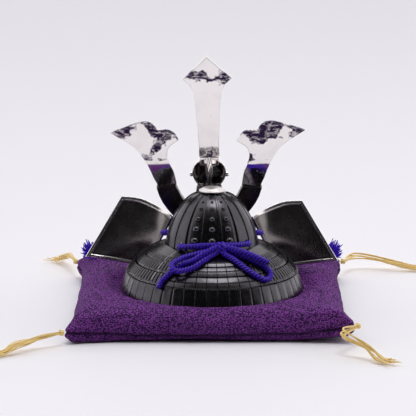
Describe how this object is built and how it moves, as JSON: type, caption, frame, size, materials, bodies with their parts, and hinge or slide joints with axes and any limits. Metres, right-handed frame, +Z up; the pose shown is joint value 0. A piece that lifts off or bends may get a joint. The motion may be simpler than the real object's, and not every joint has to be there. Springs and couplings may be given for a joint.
{
  "type": "kabuto samurai helmet ornament on a cushion",
  "caption": "Small cast samurai helmet with riveted bowl, laced neck guard, turned-back wings, horns and sword crest, tied with cord, on a square tasselled cushion.",
  "frame": {"origin": "centre of the cushion's flat underside", "axes": "+Z up, the helmet's front faces +Y and its back, the side in the picture, faces -Y, +X to the viewer's right"},
  "size_m": [0.1783, 0.1865, 0.1023],
  "materials": {
    "black_metal": "glossy blackened cast metal with bright worn edges",
    "silver": "mirror-bright plating on slightly wavy cast metal",
    "violet_cord": "braided blue-violet rayon cord",
    "purple_crepe": "matte pebbled purple crepe",
    "yellow_thread": "loose pale gold thread"
  },
  "bodies": {
    "root": {"cushion": "purple_crepe", "corner_tassel_1": "yellow_thread", "corner_tassel_2": "yellow_thread", "corner_tassel_3": "yellow_thread", "corner_tassel_4": "yellow_thread", "bowl": "black_metal", "crown_plate": "silver", "neck_guard_lame_1": "black_metal", "neck_guard_lame_2": "black_metal", "neck_guard_lame_3": "black_metal", "neck_guard_skirt": "black_metal", "visor": "black_metal", "wing_left": "silver", "wing_right": "silver", "horn_holder": "silver", "horn_left": "silver", "horn_right": "silver", "crest_boss": "silver", "crest_sword": "silver", "bow_band": "violet_cord", "bow_knot": "violet_cord", "bow_loop_left": "violet_cord", "bow_loop_right": "violet_cord", "bow_tail_left": "violet_cord", "bow_tail_right": "violet_cord", "chin_cord_left": "violet_cord", "chin_cord_right": "violet_cord", "chin_knot": "violet_cord", "chin_tail_left": "violet_cord", "chin_tail_right": "violet_cord", "chin_tuft_left": "violet_cord", "chin_tuft_right": "violet_cord"}
  },
  "joints": []
}
